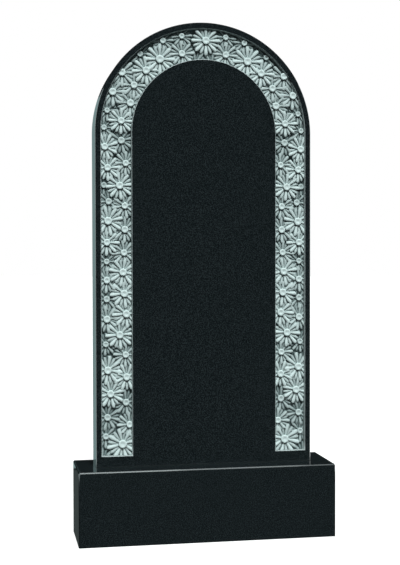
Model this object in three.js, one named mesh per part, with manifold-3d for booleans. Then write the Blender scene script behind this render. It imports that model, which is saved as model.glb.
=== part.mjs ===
// A round-topped headstone of polished black granite on a rectangular plinth.
// A sunk band of carved daisies runs up one side of the face, over the round top and down the other.
// Millimetres, +Z up. The front faces -Y and the origin is the centre of the plinth's underside.

import * as THREE from 'three';
import { ConvexGeometry } from 'three/addons/geometries/ConvexGeometry.js';
import { mergeVertices } from 'three/addons/utils/BufferGeometryUtils.js';
import Module from 'manifold-3d';

// Plinth
const PLINTH_WIDTH = 588;
const PLINTH_DEPTH = 165;
const PLINTH_HEIGHT = 167;
const PLINTH_ARRIS = 2.5; // flat on its upright and upper edges

// Headstone slab
const SLAB_WIDTH = 500;
const SLAB_SIDE_HEIGHT = 757.5; // from its foot to where the round top springs
const SLAB_THICKNESS = 75;
const SLAB_SETBACK = 57; // from the plinth's front face to the slab's
const SLAB_ARRIS = 1.2; // flat polished on the long edges
const JOINT_GAP = 0.3; // between the slab's foot and the plinth

// Carved band
const RIM_WIDTH = 12.5; // plain border left outside the band
const BAND_WIDTH = 71.5;
const BAND_FOOT = 24; // from the slab's foot to the foot of the band
const BAND_DEPTH = 13; // from the face to the band's floor
const BAND_MARGIN = 2; // bare floor left along the band's edges
const CARVING_INSET = 1; // from the face to the highest flower

// Flowers
const PETALS = 8;
const FLOWER_LEVELS = 3; // steps between the lowest flowers and the highest
const LEVEL_RISE = 1.7;
const PETAL_DROP = 2.2; // from a flower's button to the crest of its petals
const COLLAR_DROP = 1; // from the petals' crest to the foot of the button
const CREST_AT = 0.74; // crest of a petal, as a share of its reach
const COVERING = 1.1; // share of a flower's reach under which lower petals are left flat
const CREST_MARGIN = 1; // a petal is left flat where its crest lies nearer to the band's edge
const FLOWER_ROOT = 1; // how far a flower runs on below the band's floor
const ARCH_STEPS = 32; // straight edges in the round top

// One side of the band, from the crown down: how far along the half band, how far across it from the
// panel to the rim, petal reach as a share of the band's width, turn in degrees from a petal that
// stands upright, and level, where 3 is nearest to the face. The first one stands alone at the crown.
const FLOWERS = [
  [0.004, 0.615, 0.48, 0, 3],
  [0.022, -0.084, 0.42, 11, 1],
  [0.044, 0.821, 0.36, 6, 1],
  [0.053, 0.282, 0.43, 5, 2],
  [0.082, 0.866, 0.37, 5, 1],
  [0.106, 0.39, 0.51, 0, 3],
  [0.133, 0.882, 0.37, 1, 0],
  [0.147, 0.372, 0.47, 4, 3],
  [0.183, 0.898, 0.46, 0, 2],
  [0.19, 0.365, 0.44, -2, 2],
  [0.224, 0.858, 0.47, 2, 2],
  [0.231, 0.208, 0.46, -4, 2],
  [0.261, 0.846, 0.35, 1, 1],
  [0.277, 0.359, 0.43, -2, 3],
  [0.294, 0.878, 0.35, 1, 1],
  [0.32, 0.33, 0.44, 13, 1],
  [0.334, 0.857, 0.44, 18, 3],
  [0.369, 0.196, 0.4, -2, 2],
  [0.379, 0.774, 0.43, 2, 3],
  [0.416, 0.887, 0.38, 0, 0],
  [0.417, 0.392, 0.46, 6, 3],
  [0.451, 0.737, 0.41, 4, 1],
  [0.46, 0.23, 0.42, 10, 2],
  [0.493, 0.764, 0.49, 12, 3],
  [0.511, 0.232, 0.44, -2, 2],
  [0.539, 0.804, 0.43, -2, 3],
  [0.561, 0.259, 0.41, 6, 2],
  [0.58, 0.809, 0.37, -1, 1],
  [0.603, 0.297, 0.47, -10, 3],
  [0.62, 0.807, 0.43, -4, 2],
  [0.649, 0.259, 0.47, 6, 3],
  [0.661, 0.813, 0.41, -1, 1],
  [0.693, 0.194, 0.47, 4, 3],
  [0.704, 0.809, 0.45, 8, 2],
  [0.738, 0.405, 0.47, 4, 3],
  [0.758, 0.847, 0.37, -4, 1],
  [0.781, 0.217, 0.41, -2, 2],
  [0.814, 0.787, 0.48, -9, 3],
  [0.829, 0.19, 0.45, 24, 3],
  [0.865, 0.706, 0.46, 14, 3],
  [0.884, 0.207, 0.43, 6, 1],
  [0.916, 0.8, 0.43, -13, 1],
  [0.932, 0.103, 0.42, 4, 2],
  [0.957, 0.854, 0.39, -1, 1],
  [0.974, 0.326, 0.52, 14, 3],
  [1.01, 0.948, 0.44, 4, 1],
];

// Heights and faces that follow from the sizes above
const SLAB_FOOT = PLINTH_HEIGHT + JOINT_GAP;
const SLAB_FACE = SLAB_SETBACK - PLINTH_DEPTH / 2;
const SLAB_BACK = SLAB_FACE + SLAB_THICKNESS;
const SPRING = PLINTH_HEIGHT + SLAB_SIDE_HEIGHT;
const BAND_FLOOR = SLAB_FACE + BAND_DEPTH;
const BAND_BOTTOM = PLINTH_HEIGHT + BAND_FOOT;
const OUTER_RADIUS = SLAB_WIDTH / 2 - RIM_WIDTH;
const INNER_RADIUS = OUTER_RADIUS - BAND_WIDTH;
const MIDDLE_RADIUS = (OUTER_RADIUS + INNER_RADIUS) / 2;
const HALF_ARCH_LENGTH = MIDDLE_RADIUS * Math.PI / 2;
const HALF_BAND_LENGTH = HALF_ARCH_LENGTH + SPRING - BAND_BOTTOM;

const granite = { color: 0x181f21, roughness: 0.12, metalness: 0 };

// A closed geometry with only its positions, and each point held once
function bare(geometry) {
  geometry.deleteAttribute('normal');
  geometry.deleteAttribute('uv');
  return mergeVertices(geometry, 1e-4);
}

// An outline drawn in X and Z, pushed back from one depth in Y to another
function slabOf(shape, front, back, extra = {}) {
  const settings = { depth: back - front, bevelEnabled: false, curveSegments: ARCH_STEPS, ...extra };
  const geometry = new THREE.ExtrudeGeometry(shape, settings);
  geometry.rotateX(Math.PI / 2);
  geometry.translate(0, back, 0);
  return bare(geometry);
}

// Straight sides from a foot height up to the springing, and a half circle on top
function archOutline(radius, foot) {
  const shape = new THREE.Shape();
  shape.moveTo(-radius, foot);
  shape.lineTo(radius, foot);
  shape.lineTo(radius, SPRING);
  shape.absarc(0, SPRING, radius, 0, Math.PI, false);
  return shape;
}

// The band's outline: up one leg, over the arch and down the other, between two radii
function bandOutline(inner, outer, foot) {
  const shape = new THREE.Shape();
  shape.moveTo(outer, foot);
  shape.lineTo(outer, SPRING);
  shape.absarc(0, SPRING, outer, 0, Math.PI, false);
  shape.lineTo(-outer, foot);
  shape.lineTo(-inner, foot);
  shape.lineTo(-inner, SPRING);
  shape.absarc(0, SPRING, inner, Math.PI, 0, true);
  shape.lineTo(inner, foot);
  return shape;
}

// The middle of a flower, in X and Z, from its place along and across the band
function bandPoint(along, across) {
  const length = along * HALF_BAND_LENGTH;
  const radius = INNER_RADIUS + across * BAND_WIDTH;
  const angle = Math.min(length, HALF_ARCH_LENGTH) / MIDDLE_RADIUS;
  const fall = Math.max(length - HALF_ARCH_LENGTH, 0);
  return new THREE.Vector2(radius * Math.sin(angle), SPRING + radius * Math.cos(angle) - fall);
}

// The flowers of the whole band, those beside the crown on both sides, each with its middle in X and Z
function placedFlowers() {
  const flowers = [];
  FLOWERS.forEach(([along, across, reach, turn, level], row) => {
    const middle = bandPoint(along, across);
    for (const side of row === 0 ? [1] : [-1, 1]) {
      const x = side * middle.x;
      const angle = side * THREE.MathUtils.degToRad(turn);
      flowers.push({ x, z: middle.y, reach: reach * BAND_WIDTH, turn: angle, level });
    }
  });
  return flowers;
}

// How far a point of the face lies across the band, from the panel's side
function acrossBand(x, z) {
  const radius = z > SPRING ? Math.hypot(x, z - SPRING) : Math.abs(x);
  return radius - INNER_RADIUS;
}

// Whether a petal ends beyond the band, or under a flower that stands nearer to the face
function isHidden(flower, angle, others) {
  const x = flower.x + CREST_AT * flower.reach * Math.sin(angle);
  const z = flower.z + CREST_AT * flower.reach * Math.cos(angle);
  const across = acrossBand(x, z);
  const room = Math.min(across, BAND_WIDTH - across, z - BAND_BOTTOM);
  if (room < CREST_MARGIN) {
    return true;
  }
  return others.some((other) => other.level > flower.level
    && Math.hypot(x - other.x, z - other.z) < COVERING * other.reach);
}

// One daisy as a closed faceted star: ridged petals around a raised button. It is drawn in X and Z
// around its own middle, and its height goes towards -Y from the band's floor. A hidden petal is
// left flat.
function daisyGeometry(flower, others) {
  const top = BAND_DEPTH - CARVING_INSET - (FLOWER_LEVELS - flower.level) * LEVEL_RISE;
  const crest = top - PETAL_DROP;
  const rings = {
    notch: { radius: 0.6, height: -FLOWER_ROOT, shift: 0.5 },
    tip: { radius: 1, height: -FLOWER_ROOT, shift: 0 },
    crest: { radius: CREST_AT, height: crest, shift: 0 },
    collar: { radius: 0.25, height: crest - COLLAR_DROP, shift: 0.5 },
    button: { radius: 0.18, height: top, shift: 0.5 },
  };
  const positions = [];
  for (const ring of Object.values(rings)) {
    ring.first = positions.length / 3;
    for (let i = 0; i < PETALS; i++) {
      const angle = flower.turn + (i + ring.shift) * 2 * Math.PI / PETALS;
      const radius = ring.radius * flower.reach;
      positions.push(radius * Math.sin(angle), -ring.height, radius * Math.cos(angle));
    }
  }
  const topMiddle = positions.length / 3;
  positions.push(0, -top, 0);
  const footMiddle = topMiddle + 1;
  positions.push(0, FLOWER_ROOT, 0);

  const faces = [];
  for (let i = 0; i < PETALS; i++) {
    const before = (i + PETALS - 1) % PETALS;
    const [notchBefore, notch] = [rings.notch.first + before, rings.notch.first + i];
    const [collarBefore, collar] = [rings.collar.first + before, rings.collar.first + i];
    const [buttonBefore, button] = [rings.button.first + before, rings.button.first + i];
    const [tip, crestPoint] = [rings.tip.first + i, rings.crest.first + i];
    if (isHidden(flower, flower.turn + i * 2 * Math.PI / PETALS, others)) {
      faces.push([collarBefore, collar, notchBefore]);
      faces.push([notchBefore, collar, notch]);
      faces.push([notchBefore, notch, footMiddle]);
    } else {
      faces.push([notchBefore, crestPoint, tip]);
      faces.push([tip, crestPoint, notch]);
      faces.push([notch, crestPoint, collar]);
      faces.push([collarBefore, collar, crestPoint]);
      faces.push([collarBefore, crestPoint, notchBefore]);
      faces.push([notchBefore, tip, footMiddle]);
      faces.push([tip, notch, footMiddle]);
    }
    faces.push([collarBefore, button, collar]);
    faces.push([collarBefore, buttonBefore, button]);
    faces.push([buttonBefore, topMiddle, button]);
  }
  const geometry = new THREE.BufferGeometry();
  geometry.setAttribute('position', new THREE.Float32BufferAttribute(positions, 3));
  geometry.setIndex(faces.flat());
  return bare(geometry);
}

const wasm = await Module();
wasm.setup();

function solid(geometry) {
  const mesh = new wasm.Mesh({
    numProp: 3,
    vertProperties: geometry.attributes.position.array,
    triVerts: new Uint32Array(geometry.index.array),
  });
  return new wasm.Manifold(mesh);
}

function geometryOf(manifold) {
  const mesh = manifold.getMesh();
  const geometry = new THREE.BufferGeometry();
  geometry.setAttribute('position', new THREE.BufferAttribute(mesh.vertProperties, 3));
  geometry.setIndex(new THREE.BufferAttribute(mesh.triVerts, 1));
  geometry.computeVertexNormals();
  return geometry;
}

// Every flower of the band, joined to one another
function carving() {
  const flowers = placedFlowers();
  const stars = flowers.map((flower) => {
    const geometry = daisyGeometry(flower, flowers);
    geometry.translate(flower.x, BAND_FLOOR, flower.z);
    return solid(geometry);
  });
  return stars.reduce((joined, star) => joined.add(star));
}

// The slab: its round-topped outline with polished arrises, the band sunk into the face, and the
// flowers standing on the band's floor
function slabGeometry() {
  const bevel = {
    depth: SLAB_THICKNESS - 2 * SLAB_ARRIS,
    bevelEnabled: true,
    bevelSegments: 1,
    bevelSize: SLAB_ARRIS,
    bevelOffset: -SLAB_ARRIS,
    bevelThickness: SLAB_ARRIS,
  };
  const outline = archOutline(SLAB_WIDTH / 2, SLAB_FOOT - SLAB_ARRIS);
  const stone = slabOf(outline, SLAB_FACE, SLAB_BACK - SLAB_ARRIS, bevel);
  const foot = slabOf(archOutline(SLAB_WIDTH, SLAB_FOOT), SLAB_FACE - SLAB_ARRIS, SLAB_BACK + SLAB_ARRIS);
  const band = bandOutline(INNER_RADIUS, OUTER_RADIUS, BAND_BOTTOM);
  const cut = slabOf(band, SLAB_FACE - SLAB_ARRIS, BAND_FLOOR);
  const room = bandOutline(INNER_RADIUS + BAND_MARGIN, OUTER_RADIUS - BAND_MARGIN, BAND_BOTTOM + BAND_MARGIN);
  const field = slabOf(room, SLAB_FACE, BAND_FLOOR + 2 * FLOWER_ROOT);
  const sunk = solid(stone).intersect(solid(foot)).subtract(solid(cut));
  return geometryOf(sunk.add(carving().intersect(solid(field))));
}

// A block that stands on its underside, with arrises on its upright and upper edges
function plinthGeometry() {
  const halfWidth = PLINTH_WIDTH / 2;
  const halfDepth = PLINTH_DEPTH / 2;
  const topHalfWidth = halfWidth - PLINTH_ARRIS;
  const topHalfDepth = halfDepth - PLINTH_ARRIS;
  const points = [];
  for (const x of [-1, 1]) {
    for (const y of [-1, 1]) {
      const sides = [[topHalfWidth, halfDepth], [halfWidth, topHalfDepth]];
      for (const [along, deep] of sides) {
        points.push(new THREE.Vector3(x * along, y * deep, 0));
        points.push(new THREE.Vector3(x * along, y * deep, PLINTH_HEIGHT - PLINTH_ARRIS));
      }
      points.push(new THREE.Vector3(x * topHalfWidth, y * topHalfDepth, PLINTH_HEIGHT));
    }
  }
  return new ConvexGeometry(points);
}

function named(name, geometry, finish) {
  const mesh = new THREE.Mesh(geometry, new THREE.MeshStandardMaterial(finish));
  mesh.name = name;
  return mesh;
}

const headstone = new THREE.Group();
headstone.add(named('plinth', plinthGeometry(), granite));
headstone.add(named('headstone', slabGeometry(), granite));

export default headstone;
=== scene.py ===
# A round-topped headstone of polished black granite, with a sunk band of carved daisies around its
# panel, on a plinth. Metres, +Z up. The front faces -Y.

import math
from contextlib import contextmanager

import bmesh
import bpy
from bpy.props import FloatProperty, FloatVectorProperty, IntProperty, PointerProperty
from mathutils import Matrix, Vector


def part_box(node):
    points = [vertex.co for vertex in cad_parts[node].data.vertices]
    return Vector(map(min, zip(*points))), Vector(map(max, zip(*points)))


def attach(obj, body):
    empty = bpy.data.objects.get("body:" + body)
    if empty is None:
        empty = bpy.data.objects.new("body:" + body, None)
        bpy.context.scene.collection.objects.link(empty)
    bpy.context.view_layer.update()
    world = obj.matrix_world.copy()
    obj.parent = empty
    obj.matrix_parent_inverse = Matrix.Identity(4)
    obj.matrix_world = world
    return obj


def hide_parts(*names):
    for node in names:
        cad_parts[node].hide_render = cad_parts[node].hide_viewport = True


bl_info = {
    "name": "Headstone with a band of daisies",
    "version": (1, 0, 0),
    "blender": (4, 5, 0),
    "location": "3D View > Sidebar > Headstone",
    "description": "Builds a round-topped granite headstone with carved daisies, and its plinth",
    "category": "Object",
}

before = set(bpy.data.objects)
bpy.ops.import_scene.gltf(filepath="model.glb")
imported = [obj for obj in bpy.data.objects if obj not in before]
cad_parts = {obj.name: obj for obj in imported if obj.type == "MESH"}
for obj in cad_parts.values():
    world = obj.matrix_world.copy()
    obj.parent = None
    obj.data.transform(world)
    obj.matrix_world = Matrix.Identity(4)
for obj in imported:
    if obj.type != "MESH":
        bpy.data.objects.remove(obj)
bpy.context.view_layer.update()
SLAB_LOW, SLAB_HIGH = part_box("headstone")
PLINTH_LOW, PLINTH_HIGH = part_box("plinth")

NEAR = 1e-5
SLAB_RADIUS = (SLAB_HIGH.x - SLAB_LOW.x) / 2
SPRING = SLAB_HIGH.z - SLAB_RADIUS
TOP_LEVEL = 3

# One side of the band, from the crown down: how far along the half band, how far across it from the
# panel to the rim, petal reach as a share of the band's width, turn in degrees from a petal that
# stands upright, and level, where 3 is nearest to the face. The first stands alone at the crown.
FLOWERS = (
    (0.004, 0.615, 0.48, 0, 3),
    (0.022, -0.084, 0.42, 11, 1),
    (0.044, 0.821, 0.36, 6, 1),
    (0.053, 0.282, 0.43, 5, 2),
    (0.082, 0.866, 0.37, 5, 1),
    (0.106, 0.39, 0.51, 0, 3),
    (0.133, 0.882, 0.37, 1, 0),
    (0.147, 0.372, 0.47, 4, 3),
    (0.183, 0.898, 0.46, 0, 2),
    (0.19, 0.365, 0.44, -2, 2),
    (0.224, 0.858, 0.47, 2, 2),
    (0.231, 0.208, 0.46, -4, 2),
    (0.261, 0.846, 0.35, 1, 1),
    (0.277, 0.359, 0.43, -2, 3),
    (0.294, 0.878, 0.35, 1, 1),
    (0.32, 0.33, 0.44, 13, 1),
    (0.334, 0.857, 0.44, 18, 3),
    (0.369, 0.196, 0.4, -2, 2),
    (0.379, 0.774, 0.43, 2, 3),
    (0.416, 0.887, 0.38, 0, 0),
    (0.417, 0.392, 0.46, 6, 3),
    (0.451, 0.737, 0.41, 4, 1),
    (0.46, 0.23, 0.42, 10, 2),
    (0.493, 0.764, 0.49, 12, 3),
    (0.511, 0.232, 0.44, -2, 2),
    (0.539, 0.804, 0.43, -2, 3),
    (0.561, 0.259, 0.41, 6, 2),
    (0.58, 0.809, 0.37, -1, 1),
    (0.603, 0.297, 0.47, -10, 3),
    (0.62, 0.807, 0.43, -4, 2),
    (0.649, 0.259, 0.47, 6, 3),
    (0.661, 0.813, 0.41, -1, 1),
    (0.693, 0.194, 0.47, 4, 3),
    (0.704, 0.809, 0.45, 8, 2),
    (0.738, 0.405, 0.47, 4, 3),
    (0.758, 0.847, 0.37, -4, 1),
    (0.781, 0.217, 0.41, -2, 2),
    (0.814, 0.787, 0.48, -9, 3),
    (0.829, 0.19, 0.45, 24, 3),
    (0.865, 0.706, 0.46, 14, 3),
    (0.884, 0.207, 0.43, 6, 1),
    (0.916, 0.8, 0.43, -13, 1),
    (0.932, 0.103, 0.42, 4, 2),
    (0.957, 0.854, 0.39, -1, 1),
    (0.974, 0.326, 0.52, 14, 3),
    (1.01, 0.948, 0.44, 4, 1),
)

# Soft lights that show in the polished stone only: name, middle, the point that it faces, width,
# height, brightness and colour. The ones above grow dimmer to the right. The cards stand behind
# the stone and show in its left side.
SOFTBOXES = (
    ("above_left", (-0.15, -1.4, 3.0), (-0.15, -1.4, 0.0), 1.1, 1.8, 8.0, (0.9, 1.0, 1.0)),
    ("above", (0.7, -1.4, 3.0), (0.7, -1.4, 0.0), 0.6, 1.8, 5.0, (0.9, 1.0, 1.0)),
    ("above_right", (1.3, -1.4, 3.0), (1.3, -1.4, 0.0), 0.6, 1.8, 2.6, (0.9, 1.0, 1.0)),
    ("left", (-2.6, -0.25, 1.1), (0.0, -0.25, 1.1), 0.9, 2.8, 5.0, (0.85, 1.0, 1.0)),
    ("right", (2.6, 0.6, 1.0), (0.0, 0.6, 1.0), 1.1, 2.6, 6.5, (0.95, 1.0, 1.0)),
    ("card", (-0.5, 3.0, 0.745), (-0.5, 0.0, 0.745), 0.56, 2.29, 0.38, (0.68, 1.0, 1.0)),
    ("low_card", (-0.5, 3.0, -0.725), (-0.5, 0.0, -0.725), 0.56, 0.63, 0.068, (0.8, 1.0, 0.97)),
)

# A petal from the button to its tip: how far out, as a share of the flower's reach, half its width
# as a share of its widest, and how far its ridge lies below the crest, as a share of the fall
MAIN_PETAL = (
    (0.18, 0.4, 1.0),
    (0.3, 0.54, 0.74),
    (0.45, 0.72, 0.4),
    (0.6, 0.88, 0.14),
    (0.75, 1.0, 0.0),
    (0.88, 0.97, 0.14),
    (0.97, 0.66, 0.6),
)
MAIN_TIP = 1.0
NARROW_PETAL = (
    (0.18, 0.42, 1.0),
    (0.3, 0.54, 0.76),
    (0.44, 0.72, 0.4),
    (0.58, 0.9, 0.12),
    (0.71, 1.0, 0.0),
    (0.82, 0.9, 0.18),
    (0.9, 0.56, 0.64),
)
NARROW_TIP = 0.94

# Solids used for cutting reach past the stone by this much
PAST = 0.01
# A half circle of the band is scored into this many sectors
ARCH_SECTORS = 12

# How high a petal's dome stands, as a share of its half width, and how far its foot spreads
DOME = 1.15
FOOT_SPREAD = 1.6
# A petal starts as a sphere with this many sides and rings, one more than its table has rows
PETAL_SIDES = 8
# How far the flowers' roots reach behind the band's floor, and how much of that joins the slab
ROOT_PAST_FLOOR = 0.005
KEPT_PAST_FLOOR = 0.002
# The reach, as a share of the band's width, at which the one flower is modelled that the rest copy
MODEL_REACH = 0.43

# The button, as shares of its radius: the round of its rim, then the lip and the fall of its dish,
# then the same for the dimple in the middle
BUTTON_SIDES = 16
BUTTON_ROUND = 0.26
DISH = (0.24, 0.03)
DIMPLE = (0.18, 0.13)
# How wide the room cleared for a flower is at its root, as a share of its width at the front
CLEARING_TAPER = 0.75

# The order of the slab's materials after the polished one
CARVED, WALLS, FLANK_PAINTED_SHADE = 1, 2, 3
# A face of the carving is a flank where its normal's y is above the first and its z below the second
# Such faces turn away from the light above and are given a darker painted shade than the carved
# stone
FLANK_FRONT = -0.56
FLANK_UP = 0.4
# A face in the band is no wall where its normal's y is below this
FLOOR_FRONT = -0.9
# The flat along the slab's foot is a face whose normal's y and z are both below this
FLAT_FACING = -0.5

# Edges sharper than this stay sharp: on the slab, in its carving and on the plinth
SLAB_SHARP = math.radians(62)
CARVING_SHARP = math.radians(20)
PLINTH_SHARP = math.radians(15)
# The edges of the plinth's flats, which turn by more radians than this, are rounded by this share
# of a flat's width
FLAT_TURN = 0.3
FLAT_ROUND = 0.1

FLOOR_RADIUS = 28
BACKDROP_RADIUS = 30

class CarvingSizes(bpy.types.PropertyGroup):
    """Sizes of the slab, the sunk band and its flowers."""

    arch_steps: IntProperty(
        name="Arch steps",
        description="Straight edges in a whole circle of the round top",
        default=192,
        min=48,
    )
    slab_arris: FloatProperty(
        name="Slab arris",
        description="Flat polished on the slab's long edges",
        default=0.0012,
        unit="LENGTH",
    )
    plinth_arris: FloatProperty(
        name="Plinth arris", description="Flat on the plinth's edges", default=0.0025, unit="LENGTH"
    )
    rim_width: FloatProperty(
        name="Rim width", description="Plain border outside the band", default=0.0125, unit="LENGTH"
    )
    band_width: FloatProperty(
        name="Band width", description="Width of the sunk band", default=0.0715, unit="LENGTH"
    )
    band_foot: FloatProperty(
        name="Band foot",
        description="From the plinth's top to the foot of the band",
        default=0.024,
        unit="LENGTH",
    )
    band_depth: FloatProperty(
        name="Band depth",
        description="From the face to the band's floor",
        default=0.013,
        unit="LENGTH",
    )
    band_arris: FloatProperty(
        name="Band arris",
        description="Flat dressed on the edge of the sunk band",
        default=0.0014,
        unit="LENGTH",
    )
    band_margin: FloatProperty(
        name="Band margin",
        description="Bare floor left along the band's edges",
        default=0.0006,
        unit="LENGTH",
    )
    carving_inset: FloatProperty(
        name="Carving inset",
        description="From the face to the highest flower",
        default=0.001,
        unit="LENGTH",
    )
    level_rise: FloatProperty(
        name="Level rise",
        description="Between one level of flowers and the next",
        default=0.0017,
        unit="LENGTH",
    )
    petals: IntProperty(
        name="Petals",
        description="Main petals of a daisy, with as many narrow ones between",
        default=8,
        min=5,
    )
    petal_drop: FloatProperty(
        name="Petal drop",
        description="From the button's top to the crest of the petals",
        default=0.0018,
        unit="LENGTH",
    )
    petal_fall: FloatProperty(
        name="Petal fall",
        description="From the crest of a petal down to its root",
        default=0.0022,
        unit="LENGTH",
    )
    petal_width: FloatProperty(
        name="Petal width",
        description="Half width of a main petal as a share of the reach",
        default=0.158,
    )
    narrow_width: FloatProperty(
        name="Narrow width",
        description="Half width of a narrow petal as a share of the reach",
        default=0.126,
    )
    narrow_drop: FloatProperty(
        name="Narrow drop",
        description="How much lower the narrow petals lie",
        default=0.0021,
        unit="LENGTH",
    )
    button_radius: FloatProperty(
        name="Button radius",
        description="Radius of the button as a share of the reach",
        default=0.262,
    )
    clearing: FloatProperty(
        name="Clearing",
        description="Cleared of the flowers below, as a share of the reach",
        default=0.8,
    )
    flower_tilt: FloatProperty(
        name="Flower tilt",
        description="Lower petals stand out by this angle",
        default=math.radians(2),
        subtype="ANGLE",
    )


class StoneColours(bpy.types.PropertyGroup):
    """Colours of the polished and the carved stone, with the painted shade of the carving."""

    polished: FloatVectorProperty(
        name="Polished",
        description="Ground of the polished stone",
        default=(0.0048, 0.0076, 0.0084),
        subtype="COLOR",
    )
    fleck: FloatVectorProperty(
        name="Fleck",
        description="Lighter crystals in the polished stone",
        default=(0.038, 0.048, 0.052),
        subtype="COLOR",
    )
    polish: FloatProperty(
        name="Polish", description="Roughness of the polished faces", default=0.05, subtype="FACTOR"
    )
    carved: FloatVectorProperty(
        name="Carved",
        description="Dressed stone on the high parts of the carving",
        default=(0.65, 0.76, 0.75),
        subtype="COLOR",
    )
    # Painted shade: the carving blends towards this colour the deeper it lies below the face,
    # standing in for the shade in its recesses
    carved_painted_shade: FloatVectorProperty(
        name="Carved deep",
        description="Rough stone in the depth of the carving",
        default=(0.09, 0.13, 0.13),
        subtype="COLOR",
    )
    # Painted shade: steep petal sides that don't look up get this dark colour, standing in for the
    # shade between petals under light from above; it darkens further with depth
    flanks: FloatVectorProperty(
        name="Flanks",
        description="Stone on the steep sides of the petals",
        default=(0.12, 0.165, 0.165),
        subtype="COLOR",
    )
    walls: FloatVectorProperty(
        name="Walls",
        description="Stone on the walls and the edge of the sunk band",
        default=(0.37, 0.42, 0.42),
        subtype="COLOR",
    )
    # The painted shade of the carving grows from the first of these depths below the face to the
    # second
    shade_from: FloatProperty(
        name="Shade from",
        description="Depth below the face where the carving starts to darken",
        default=0.003,
        unit="LENGTH",
    )
    shade_to: FloatProperty(
        name="Shade to",
        description="Depth below the face where the carving is darkest",
        default=0.0104,
        unit="LENGTH",
    )


class StudioSettings(bpy.types.PropertyGroup):
    """Light, floor and camera."""

    floor: FloatVectorProperty(
        name="Floor", description="Colour of the floor", default=(0.35, 0.35, 0.35), subtype="COLOR"
    )
    floor_glow: FloatProperty(
        name="Floor glow", description="Light that the floor gives of its own", default=0.88
    )
    surround: FloatVectorProperty(
        name="Surround",
        description="Dim light that the polished faces mirror",
        default=(0.006, 0.0076, 0.008),
        subtype="COLOR",
    )
    light: FloatVectorProperty(
        name="Light", description="Colour of the lights", default=(0.94, 1.0, 1.0), subtype="COLOR"
    )
    key: FloatProperty(
        name="Key", description="Strength of the light from above the front", default=4.15
    )
    fill: FloatProperty(
        name="Fill", description="Strength of the broad light straight from the front", default=0.24
    )
    key_height: FloatProperty(
        name="Key height",
        description="How high the key light stands",
        default=math.radians(52),
        subtype="ANGLE",
    )
    back: FloatProperty(
        name="Back", description="Strength of the level light on the back", default=2.2
    )
    camera_place: FloatVectorProperty(
        name="Camera",
        description="Where the camera stands",
        default=(-0.48932, -2.61624, 0.65454),
        subtype="XYZ",
        unit="LENGTH",
    )
    camera_turn: FloatProperty(
        name="Turn",
        description="Turn of the camera from straight ahead",
        default=math.radians(-10.459),
        subtype="ANGLE",
    )
    camera_tilt: FloatProperty(
        name="Tilt",
        description="Tilt of the camera up from level",
        default=math.radians(-1.538),
        subtype="ANGLE",
    )
    camera_roll: FloatProperty(
        name="Roll", description="Roll of the camera", default=math.radians(-0.107), subtype="ANGLE"
    )
    lens: FloatProperty(
        name="Lens",
        description="Focal length for a 36 mm sensor along the picture's height",
        default=73.524,
        subtype="DISTANCE_CAMERA",
    )


class Value:
    """A shader socket that takes part in Python's own sums."""

    def __init__(self, recipe, socket):
        self.recipe = recipe
        self.socket = socket

    def _sum(self, operation, first, second):
        return self.recipe.node("ShaderNodeMath", {"operation": operation}, {0: first, 1: second})

    def __add__(self, other):
        return self._sum("ADD", self, other)

    def __radd__(self, other):
        return self._sum("ADD", other, self)

    def __mul__(self, other):
        return self._sum("MULTIPLY", self, other)

    def __rmul__(self, other):
        return self._sum("MULTIPLY", other, self)


class Recipe:
    """The nodes of one material, added one call at a time."""

    def __init__(self, name):
        self.material = bpy.data.materials.new(name)
        self.material.use_nodes = True
        self.tree = self.material.node_tree
        self.tree.nodes.clear()

    def node(self, kind, settings=None, inputs=None, output=0):
        made = self.tree.nodes.new(kind)
        for name, value in (settings or {}).items():
            setattr(made, name, value)
        for socket, value in (inputs or {}).items():
            if isinstance(value, Value):
                self.tree.links.new(value.socket, made.inputs[socket])
            else:
                made.inputs[socket].default_value = value
        return Value(self, made.outputs[output]) if made.outputs else None

    def place(self):
        return self.node("ShaderNodeTexCoord", output="Object")

    def noise(self, scale, detail=2.0, roughness=0.5):
        inputs = {"Vector": self.place(), "Scale": scale, "Detail": detail, "Roughness": roughness}
        return self.node("ShaderNodeTexNoise", inputs=inputs)

    def ramp(self, value, low, high):
        """0 below low, 1 above high and straight between."""
        inputs = {"Value": value, "From Min": low, "From Max": high}
        return self.node("ShaderNodeMapRange", {"clamp": True}, inputs)

    def blend(self, share, first, second):
        """A colour that goes from the first to the second."""
        return self.node("ShaderNodeMix", {"data_type": "RGBA"}, {0: share, 6: first, 7: second}, 2)

    def finish(self, **inputs):
        sockets = {name.replace("_", " "): value for name, value in inputs.items()}
        shader = self.node("ShaderNodeBsdfPrincipled", inputs=sockets)
        self.node("ShaderNodeOutputMaterial", inputs={"Surface": shader})
        return self.material


def colour(value):
    return (*value, 1.0)


def polished_granite(colours):
    """Black granite with a mirror polish, fine lighter crystals and a faint cloudiness."""
    made = bpy.data.materials.get("black_granite")
    if made:
        return made
    recipe = Recipe("black_granite")
    crystals = recipe.ramp(recipe.noise(520.0, 3.0, 0.8), 0.47, 0.7)
    clouds = recipe.ramp(recipe.noise(95.0, 2.0), 0.35, 0.7)
    share = crystals * 0.9 + clouds * 0.04
    base = recipe.blend(share, colour(colours.polished), colour(colours.fleck))
    roughness = recipe.noise(40.0) * 0.03 + colours.polish
    return recipe.finish(Base_Color=base, Roughness=roughness)


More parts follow.
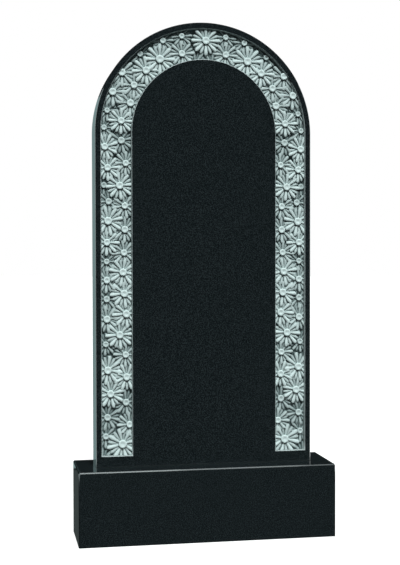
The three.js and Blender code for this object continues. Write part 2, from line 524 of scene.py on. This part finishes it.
def dressed_granite(name, high, deep, shade_from, shade_to):
    """The same stone left matt, pale where the tool dressed it, and blended towards the deep colour
    by painted shade the further it lies below the face.
    """
    recipe = Recipe(name)
    across = recipe.node("ShaderNodeSeparateXYZ", inputs={"Vector": recipe.place()}, output="Y")
    # Painted shade by depth below the face, with a little of the stone's real grain mixed in
    depth = recipe.ramp(across, SLAB_LOW.y + shade_from, SLAB_LOW.y + shade_to)
    grain = recipe.noise(700.0, 3.0, 0.65)
    shade = depth * 0.88 + recipe.ramp(grain, 0.35, 0.8) * 0.12
    base = recipe.blend(shade, colour(high), colour(deep))
    relief = {"Strength": 0.3, "Distance": 0.0003, "Height": grain}
    bump = recipe.node("ShaderNodeBump", inputs=relief)
    return recipe.finish(Base_Color=base, Roughness=grain * 0.1 + 0.72, Normal=bump)


def only(obj):
    """Object mode, with this object alone selected and active."""
    if bpy.context.object and bpy.context.object.mode != "OBJECT":
        bpy.ops.object.mode_set(mode="OBJECT")
    bpy.ops.object.select_all(action="DESELECT")
    if obj:
        obj.select_set(True)
        bpy.context.view_layer.objects.active = obj


@contextmanager
def editing(obj):
    """Edit mode on one object."""
    only(obj)
    bpy.ops.object.mode_set(mode="EDIT")
    yield
    bpy.ops.object.mode_set(mode="OBJECT")


def select(obj, kind, test):
    """In edit mode, selects the vertices, edges or faces that pass the test, and nothing else."""
    bpy.ops.mesh.select_mode(type=kind)
    bpy.ops.mesh.select_all(action="DESELECT")
    shape = bmesh.from_edit_mesh(obj.data)
    parts = {"VERT": shape.verts, "EDGE": shape.edges, "FACE": shape.faces}[kind]
    for part in parts:
        if test(part):
            part.select_set(True)
    shape.select_flush_mode()
    bmesh.update_edit_mesh(obj.data)


def at(axis, value):
    """A test of a vertex, or of all vertices of an edge or a face, by its place along an axis."""

    def passes(part):
        corners = [part] if isinstance(part, bmesh.types.BMVert) else part.verts
        return all(abs(corner.co[axis] - value) < NEAR for corner in corners)

    return passes


def take(name):
    """The object that an operator has just added, with its place applied and its own name."""
    made = bpy.context.object
    made.name = name
    made.data.name = name
    bpy.ops.object.transform_apply(location=True, rotation=True, scale=True)
    return made


def combine(target, tool, operation):
    """Joins, cuts or keeps what two closed solids share. The tool is used up."""
    only(target)
    bpy.ops.object.modifier_add(type="BOOLEAN")
    modifier = target.modifiers[-1]
    modifier.operation = operation
    modifier.solver = "MANIFOLD"
    modifier.object = tool
    bpy.ops.object.modifier_apply(modifier=modifier.name)
    bpy.data.objects.remove(tool)
    if not target.data.polygons:
        raise RuntimeError(f"{target.name} is empty after {operation}")
    return target


def joined(solids):
    """One solid from many, two by two."""
    while len(solids) > 1:
        pairs = zip(solids[::2], solids[1::2])
        rest = solids[-1:] if len(solids) % 2 else []
        solids = [combine(first, second, "UNION") for first, second in pairs] + rest
    return solids[0]


def arch_solid(name, radius, foot, front, back, steps):
    """Straight sides up to the springing with a half circle on top, from one depth to another."""
    only(None)
    bpy.ops.mesh.primitive_circle_add(
        vertices=steps,
        radius=radius,
        fill_type="NGON",
        location=(0, front, SPRING),
        rotation=(math.pi / 2, 0, 0),
    )
    solid = take(name)
    with editing(solid):
        bpy.ops.mesh.select_all(action="SELECT")
        bpy.ops.mesh.bisect(
            plane_co=(0, front, SPRING), plane_no=(0, 0, 1), clear_inner=True, threshold=NEAR
        )
        select(solid, "EDGE", at(2, SPRING))
        bpy.ops.mesh.extrude_edges_move(TRANSFORM_OT_translate={"value": (0, 0, foot - SPRING)})
        select(solid, "FACE", lambda face: True)
        bpy.ops.mesh.dissolve_faces()
        bpy.ops.mesh.extrude_region_move(TRANSFORM_OT_translate={"value": (0, back - front, 0)})
        bpy.ops.mesh.select_all(action="SELECT")
        bpy.ops.mesh.normals_make_consistent(inside=False)
    return solid


def band_solid(name, sizes, margin, front, back):
    """The band's outline, up one leg, over the arch and down the other, drawn in by a margin."""
    outer = SLAB_RADIUS - sizes.rim_width - margin
    inner = SLAB_RADIUS - sizes.rim_width - sizes.band_width + margin
    foot = PLINTH_HIGH.z + sizes.band_foot + margin
    solid = arch_solid(name, outer, foot, front, back, sizes.arch_steps)
    core = arch_solid("core", inner, foot - PAST, front - PAST, back + PAST, sizes.arch_steps)
    return combine(solid, core, "DIFFERENCE")


def split(solid, sizes):
    """Scores a band along its length, so that its long floor is made of many small faces."""
    legs = round((SPRING - SLAB_LOW.z) / sizes.band_width)
    with editing(solid):
        for step in range(legs):
            cross(solid, (0, 0, SPRING - step * sizes.band_width), (0, 0, 1))
        for step in range(1, ARCH_SECTORS):
            angle = math.pi * step / ARCH_SECTORS
            cross(solid, (0, 0, SPRING), (math.sin(angle), 0, math.cos(angle)))
    return solid


def cross(solid, place, normal):
    """In edit mode, scores the whole solid along a plane."""
    bpy.ops.mesh.select_all(action="SELECT")
    bpy.ops.mesh.bisect(plane_co=place, plane_no=normal, threshold=NEAR / 10)


def petal(name, sizes, reach, rings, tip, half_width, drop, root):
    """A petal that points up, ridged and rounded, on steep flanks that run down to its root."""
    radius = reach * tip / 2
    only(None)
    bpy.ops.mesh.primitive_uv_sphere_add(
        segments=PETAL_SIDES,
        ring_count=PETAL_SIDES,
        radius=radius,
        location=(0, 0, radius),
    )
    piece = take(name)
    dome = DOME * half_width * reach
    with editing(piece):
        for number, (out, width, fall) in reversed(list(enumerate(rings, 1))):
            height = radius * (1 - math.cos(math.pi * number / PETAL_SIDES))
            ring = radius * math.sin(math.pi * number / PETAL_SIDES)
            centre = (0, 0, height)
            select(piece, "VERT", at(2, height))
            bpy.ops.transform.resize(
                value=(half_width * reach * width / ring, dome * width / ring, 1),
                center_override=centre,
            )
            shoulder = drop + fall * sizes.petal_fall + dome * width
            bpy.ops.transform.translate(value=(0, shoulder, 0))
            select(
                piece,
                "VERT",
                lambda v: abs(v.co.z - height) < NEAR and v.co.y > shoulder + NEAR,
            )
            bpy.ops.transform.resize(value=(FOOT_SPREAD, 0, 1), center_override=(0, root, height))
            select(piece, "VERT", at(2, height))
            bpy.ops.transform.translate(value=(0, 0, out * reach - height))
        for end in (0, 2 * radius):
            select(piece, "VERT", at(2, end))
            bpy.ops.transform.translate(value=(0, root, 0))
    return piece


def button(name, radius, root):
    """A flat-topped button with a rounded rim and a dished middle with a dimple."""
    only(None)
    bpy.ops.mesh.primitive_cylinder_add(
        vertices=BUTTON_SIDES,
        radius=radius,
        depth=root,
        location=(0, root / 2, 0),
        rotation=(math.pi / 2, 0, 0),
    )
    piece = take(name)
    with editing(piece):
        select(piece, "EDGE", at(1, 0))
        bpy.ops.mesh.bevel(offset=radius * BUTTON_ROUND, segments=3, affect="EDGES")
        select(piece, "FACE", lambda face: face.normal.y < -0.99)
        for lip, fall in (DISH, DIMPLE):
            bpy.ops.mesh.inset(thickness=radius * lip, depth=-radius * fall)
    return piece


def clearing(name, radius, root):
    """The room that a flower needs among lower ones, narrower towards the floor."""
    only(None)
    bpy.ops.mesh.primitive_cylinder_add(
        vertices=BUTTON_SIDES,
        radius=radius,
        depth=2 * root,
        location=(0, 0, 0),
        rotation=(math.pi / 2, 0, 0),
    )
    piece = take(name)
    with editing(piece):
        select(piece, "VERT", at(1, root))
        bpy.ops.transform.resize(
            value=(CLEARING_TAPER, 1, CLEARING_TAPER), center_override=(0, root, 0)
        )
    return piece


def daisy(sizes, reach, root):
    """The whole flower, its button's top at the origin and its petals behind it."""
    parts = [button("daisy", reach * sizes.button_radius, root)]
    step = 2 * math.pi / sizes.petals
    kinds = (
        (MAIN_PETAL, MAIN_TIP, sizes.petal_width, sizes.petal_drop, 0.0),
        (NARROW_PETAL, NARROW_TIP, sizes.narrow_width, sizes.petal_drop + sizes.narrow_drop, 0.5),
    )
    for rings, tip, width, drop, shift in kinds:
        first = petal("petal", sizes, reach, rings, tip, width, drop, root)
        for number in range(sizes.petals):
            parts.append(turned_copy(first, (number + shift) * step))
        bpy.data.objects.remove(first)
    return joined(parts)


def turned_copy(original, turn, place=(0, 0, 0), scale=1.0, tilt=0.0):
    """A copy with its own mesh, turned clockwise seen from the front, tilted, scaled and moved."""
    copy = original.copy()
    copy.data = original.data.copy()
    bpy.context.collection.objects.link(copy)
    spread = Matrix.Diagonal((scale, 1, scale, 1))
    lean = Matrix.Rotation(-tilt, 4, "X") @ Matrix.Rotation(turn, 4, "Y")
    copy.matrix_world = Matrix.Translation(place) @ lean @ spread
    only(copy)
    bpy.ops.object.transform_apply(location=True, rotation=True, scale=True)
    return copy


def flower_places(sizes):
    """Every flower of the band: its level, middle, reach and turn."""
    inner = SLAB_RADIUS - sizes.rim_width - sizes.band_width
    middle = inner + sizes.band_width / 2
    half_arch = middle * math.pi / 2
    half_band = half_arch + SPRING - PLINTH_HIGH.z - sizes.band_foot
    for row, (along, across, reach, turn, level) in enumerate(FLOWERS):
        length = along * half_band
        radius = inner + across * sizes.band_width
        angle = min(length, half_arch) / middle
        x = radius * math.sin(angle)
        z = SPRING + radius * math.cos(angle) - max(length - half_arch, 0)
        y = SLAB_LOW.y + sizes.carving_inset + (TOP_LEVEL - level) * sizes.level_rise
        for side in (1,) if row == 0 else (-1, 1):
            yield level, (side * x, y, z), reach * sizes.band_width, side * math.radians(turn)


class HEADSTONE_OT_slab(bpy.types.Operator):
    """Models the slab with its sunk band and carved daisies"""

    bl_idname = "headstone.slab"
    bl_label = "Slab with daisies"

    def execute(self, context):
        sizes = context.scene.carving_sizes
        colours = context.scene.stone_colours
        floor = SLAB_LOW.y + sizes.band_depth
        slab = arch_solid(
            "slab", SLAB_RADIUS, SLAB_LOW.z, SLAB_LOW.y, SLAB_HIGH.y, sizes.arch_steps
        )
        with editing(slab):
            front, back = at(1, SLAB_LOW.y), at(1, SLAB_HIGH.y)
            foot = at(2, SLAB_LOW.z)
            select(slab, "EDGE", lambda e: front(e) or (back(e) and not foot(e)))
            bpy.ops.mesh.bevel(offset=sizes.slab_arris, segments=1, affect="EDGES")
        arris = sizes.band_arris
        cut = split(band_solid("cut", sizes, arris, SLAB_LOW.y - PAST, floor), sizes)
        combine(slab, cut, "DIFFERENCE")
        with editing(slab):
            select(
                slab,
                "EDGE",
                lambda e: front(e)
                and all(abs(inside(v.co, sizes) - arris) < NEAR for v in e.verts),
            )
            bpy.ops.mesh.bevel(offset=arris, segments=1, affect="EDGES")
        margin = arris + sizes.band_margin
        field = band_solid("field", sizes, margin, SLAB_LOW.y, floor + KEPT_PAST_FLOOR)
        combine(slab, combine(carving(sizes), field, "INTERSECT"), "UNION")

        slab.data.materials.clear()
        slab.data.materials.append(polished_granite(colours))
        # The carved stone darkens with depth by painted shade, and steep petal sides that don't look
        # up get a darker painted shade; the band's walls keep one even colour
        dressed = (
            ("dressed_granite", colours.carved, colours.carved_painted_shade),
            ("band_walls", colours.walls, colours.walls),
            ("petal_flank_painted_shade", colours.flanks, colours.carved_painted_shade),
        )
        for name, high, deep in dressed:
            slab.data.materials.append(
                dressed_granite(name, high, deep, colours.shade_from, colours.shade_to)
            )
        only(slab)
        bpy.ops.object.shade_smooth_by_angle(angle=SLAB_SHARP)
        with editing(slab):
            kinds = ((CARVED, in_band), (FLANK_PAINTED_SHADE, on_flank), (WALLS, on_wall), (WALLS, on_foot))
            for number, test in kinds:
                select(slab, "FACE", lambda face: test(face, sizes))
                slab.active_material_index = number
                bpy.ops.object.material_slot_assign()
            select(slab, "FACE", lambda face: face.material_index > 0)
            bpy.ops.mesh.hide(unselected=False)
            bpy.ops.mesh.select_mode(type="EDGE")
            bpy.ops.mesh.edges_select_sharp(sharpness=CARVING_SHARP)
            bpy.ops.mesh.mark_sharp()
            bpy.ops.mesh.reveal(select=False)
        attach(slab, "root")
        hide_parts("headstone")
        return {"FINISHED"}


def carving(sizes):
    """All flowers as one solid, each cut back where one nearer or higher up covers it."""
    reach = MODEL_REACH * sizes.band_width
    root = sizes.band_depth + ROOT_PAST_FLOOR
    first = daisy(sizes, reach, root)
    room = clearing("clearing", reach * sizes.clearing, root)
    places = sorted(flower_places(sizes), key=lambda flower: (flower[0], flower[1][2]))
    flowers = []
    for number, (level, middle, size, turn) in enumerate(places):
        flower = turned_copy(first, turn, middle, size / reach, sizes.flower_tilt)
        for _, other, extent, _ in places[number + 1:]:
            if math.dist(middle, other) < size + extent * sizes.clearing:
                combine(flower, turned_copy(room, 0, other, extent / reach), "DIFFERENCE")
        flowers.append(flower)
    bpy.data.objects.remove(first)
    bpy.data.objects.remove(room)
    return joined(flowers)


def inside(place, sizes):
    """How far a point lies inside the outline of the sunk band, seen from the front."""
    outer = SLAB_RADIUS - sizes.rim_width
    radius = math.hypot(place.x, max(place.z - SPRING, 0))
    foot = PLINTH_HIGH.z + sizes.band_foot
    return min(outer - radius, radius - outer + sizes.band_width, place.z - foot)


def in_band(face, sizes):
    """Whether a face belongs to the sunk band: its walls, its floor or a flower."""
    floor = SLAB_LOW.y + sizes.band_depth + NEAR
    corners = [corner.co for corner in face.verts]
    if all(place.y < SLAB_LOW.y + NEAR for place in corners):
        return False
    return all(place.y < floor and inside(place, sizes) > -NEAR for place in corners)


def on_flank(face, sizes):
    """Whether a face is a steep side of a petal that doesn't look up, which takes the flanks'
    painted shade.
    """
    steep = face.normal.y > FLANK_FRONT and face.normal.z < FLANK_UP
    return steep and in_band(face, sizes)


def on_wall(face, sizes):
    """Whether a face is a wall of the sunk band or the flat along its edge."""
    if not in_band(face, sizes) or face.normal.y < FLOOR_FRONT:
        return False
    return all(inside(corner.co, sizes) < sizes.band_arris + 3 * NEAR for corner in face.verts)


def on_foot(face, sizes):
    """Whether a face is the flat along the foot of the slab's front."""
    low = face.calc_center_median().z < SLAB_LOW.z + sizes.slab_arris
    return low and face.normal.y < FLAT_FACING and face.normal.z < FLAT_FACING


class HEADSTONE_OT_plinth(bpy.types.Operator):
    """Models the plinth"""

    bl_idname = "headstone.plinth"
    bl_label = "Plinth"

    def execute(self, context):
        sizes = context.scene.carving_sizes
        low, high = PLINTH_LOW, PLINTH_HIGH
        only(None)
        bpy.ops.mesh.primitive_cube_add(size=1, location=(low + high) / 2, scale=high - low)
        plinth = take("base")
        with editing(plinth):
            foot = at(2, low.z)
            select(plinth, "EDGE", lambda e: not foot(e))
            bpy.ops.mesh.bevel(offset=sizes.plinth_arris, segments=1, affect="EDGES")
            select(plinth, "EDGE", lambda e: not foot(e) and e.calc_face_angle(0) > FLAT_TURN)
            bpy.ops.mesh.bevel(offset=sizes.plinth_arris * FLAT_ROUND, segments=1, affect="EDGES")
        plinth.data.materials.append(polished_granite(context.scene.stone_colours))
        bpy.ops.object.shade_smooth_by_angle(angle=PLINTH_SHARP)
        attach(plinth, "root")
        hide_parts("plinth")
        return {"FINISHED"}


def softbox(name, place, target, width, height, luminance, tint):
    """A rectangular light of an even brightness that faces a point and shows in polished stone."""
    light = bpy.data.lights.new(name, "AREA")
    light.shape = "RECTANGLE"
    light.size = width
    light.size_y = height
    light.energy = luminance * math.pi * width * height
    light.color = tint
    lamp = bpy.data.objects.new(name, light)
    bpy.context.collection.objects.link(lamp)
    lamp.location = place
    lamp.rotation_euler = (Vector(target) - Vector(place)).to_track_quat("-Z", "Y").to_euler()
    lamp.visible_camera = False
    lamp.visible_diffuse = False


class HEADSTONE_OT_stage(bpy.types.Operator):
    """Sets out the floor, the backdrop, the lights and the camera"""

    bl_idname = "headstone.stage"
    bl_label = "Stage"

    def execute(self, context):
        studio = context.scene.studio_settings
        scene = context.scene
        scene.view_settings.view_transform = "Standard"

        world = bpy.data.worlds.new("surround")
        world.use_nodes = True
        world.node_tree.nodes["Background"].inputs["Color"].default_value = colour(studio.surround)
        scene.world = world

        only(None)
        bpy.ops.mesh.primitive_circle_add(vertices=64, radius=FLOOR_RADIUS, fill_type="NGON")
        floor = take("floor")
        pale = Recipe("floor")
        floor.data.materials.append(
            pale.finish(
                Base_Color=colour(studio.floor),
                Roughness=0.9,
                Emission_Color=(1, 1, 1, 1),
                Emission_Strength=studio.floor_glow,
            )
        )
        floor.visible_glossy = False
        floor.visible_diffuse = False

        bpy.ops.object.select_all(action="DESELECT")
        bpy.ops.mesh.primitive_uv_sphere_add(segments=32, ring_count=16, radius=BACKDROP_RADIUS)
        backdrop = take("backdrop")
        glow = Recipe("backdrop")
        shader = glow.node("ShaderNodeEmission", inputs={"Color": (1, 1, 1, 1), "Strength": 1.0})
        glow.node("ShaderNodeOutputMaterial", inputs={"Surface": shader})
        backdrop.data.materials.append(glow.material)
        backdrop.visible_glossy = False
        backdrop.visible_diffuse = False
        backdrop.visible_shadow = False

        # Name, strength, height above level, turn from the front and width of the disc
        suns = (
            ("key", studio.key, studio.key_height, math.radians(5), math.radians(24)),
            ("fill", studio.fill, 0.0, 0.0, math.radians(120)),
            ("back", studio.back, 0.0, math.pi, 0.0),
        )
        for name, strength, height, heading, spread in suns:
            sun = bpy.data.lights.new(name, "SUN")
            sun.energy = strength
            sun.color = studio.light
            sun.angle = spread
            lamp = bpy.data.objects.new(name, sun)
            lamp.rotation_euler = (math.pi / 2 - height, 0, heading)
            lamp.visible_glossy = False
            context.collection.objects.link(lamp)
        for box in SOFTBOXES:
            softbox(*box)

        lens = bpy.data.cameras.new("camera")
        lens.lens = studio.lens
        camera = bpy.data.objects.new("camera", lens)
        context.collection.objects.link(camera)
        turn = Matrix.Rotation(studio.camera_turn, 4, "Z")
        tilt = Matrix.Rotation(math.pi / 2 + studio.camera_tilt, 4, "X")
        roll = Matrix.Rotation(studio.camera_roll, 4, "Z")
        camera.matrix_world = Matrix.Translation(studio.camera_place) @ turn @ tilt @ roll
        scene.camera = camera
        return {"FINISHED"}


class HEADSTONE_PT_build(bpy.types.Panel):
    """Lists the steps that build the headstone"""

    bl_idname = "HEADSTONE_PT_build"
    bl_label = "Headstone"
    bl_space_type = "VIEW_3D"
    bl_region_type = "UI"
    bl_category = "Headstone"

    def draw(self, context):
        for operator in (HEADSTONE_OT_slab, HEADSTONE_OT_plinth, HEADSTONE_OT_stage):
            self.layout.operator(operator.bl_idname)
        for group in ("carving_sizes", "stone_colours", "studio_settings"):
            settings = getattr(context.scene, group)
            box = self.layout.box()
            for name in settings.__annotations__:
                box.prop(settings, name)


CLASSES = (
    CarvingSizes,
    StoneColours,
    StudioSettings,
    HEADSTONE_OT_slab,
    HEADSTONE_OT_plinth,
    HEADSTONE_OT_stage,
    HEADSTONE_PT_build,
)


def register():
    for each in CLASSES:
        bpy.utils.register_class(each)
    bpy.types.Scene.carving_sizes = PointerProperty(type=CarvingSizes)
    bpy.types.Scene.stone_colours = PointerProperty(type=StoneColours)
    bpy.types.Scene.studio_settings = PointerProperty(type=StudioSettings)


def unregister():
    del bpy.types.Scene.studio_settings
    del bpy.types.Scene.stone_colours
    del bpy.types.Scene.carving_sizes
    for each in reversed(CLASSES):
        bpy.utils.unregister_class(each)


def main():
    register()
    bpy.ops.headstone.slab()
    bpy.ops.headstone.plinth()
    bpy.ops.headstone.stage()


if __name__ == "__main__":
    main()
